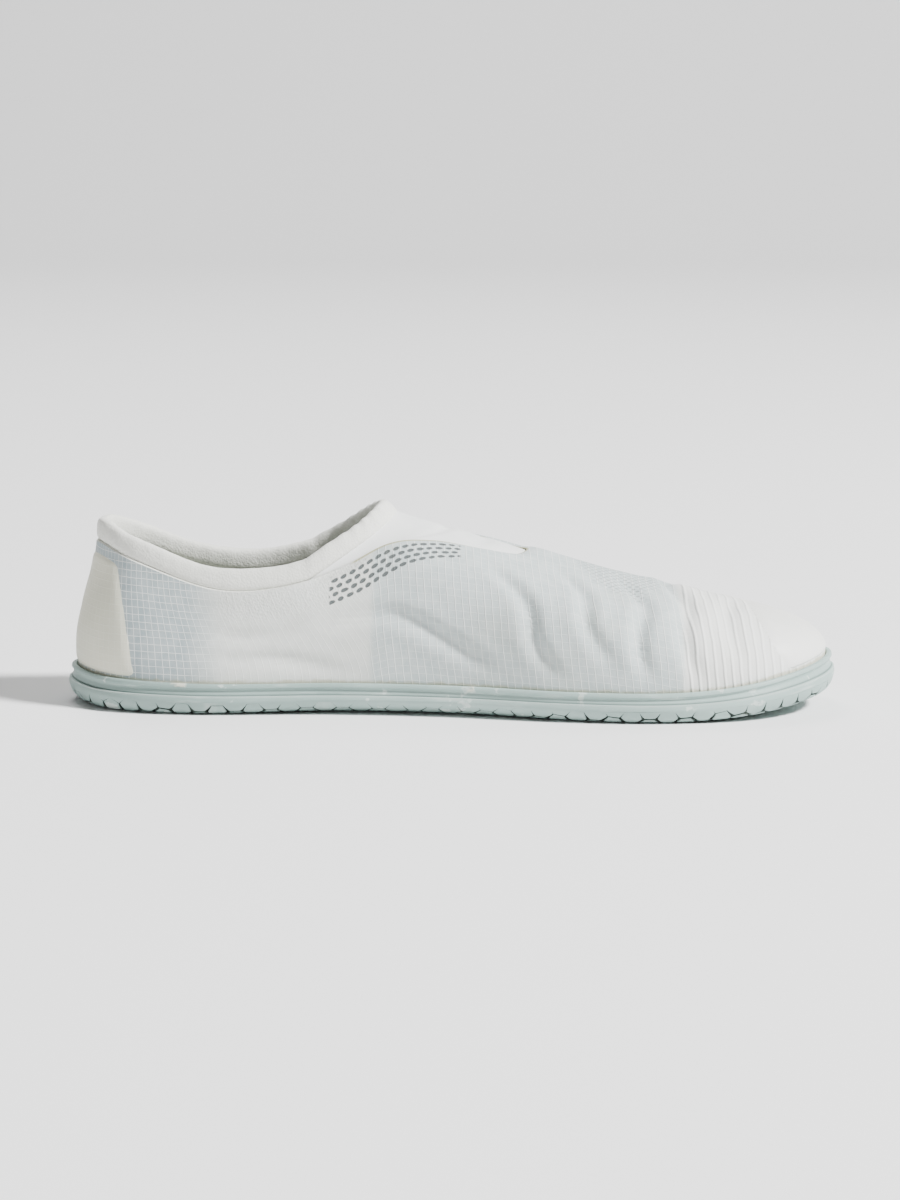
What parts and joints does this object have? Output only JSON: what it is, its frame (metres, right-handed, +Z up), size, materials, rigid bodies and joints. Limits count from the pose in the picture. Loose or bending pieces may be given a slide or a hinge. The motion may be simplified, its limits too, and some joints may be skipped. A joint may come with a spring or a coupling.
{
  "type": "barefoot shoe",
  "caption": "Slip-on barefoot shoe for the left foot: thin rubber cup sole with hexagon lugs, light fabric upper, stretch throat inset, padded collar, heel counter and toe cap",
  "frame": {"origin": "on the ground, under the middle of the shoe's box", "axes": "+X from heel to toe, +Z up, -Y the inner (medial) side of the left foot"},
  "size_m": [0.276, 0.104, 0.0726],
  "materials": {
    "outsole": "matte celadon grey rubber",
    "insole": "grey-green brushed fabric over foam",
    "upper": "off-white knit and ripstop",
    "tongue": "smooth white stretch fabric",
    "cuff": "padded off-white knit",
    "heel_counter": "smooth cream coated fabric",
    "toe_cap": "smooth white coated fabric"
  },
  "bodies": {
    "root": {"outsole": "outsole", "insole": "insole", "upper": "upper", "tongue": "tongue", "cuff": "cuff", "heel_counter": "heel_counter", "toe_cap": "toe_cap"}
  },
  "joints": []
}
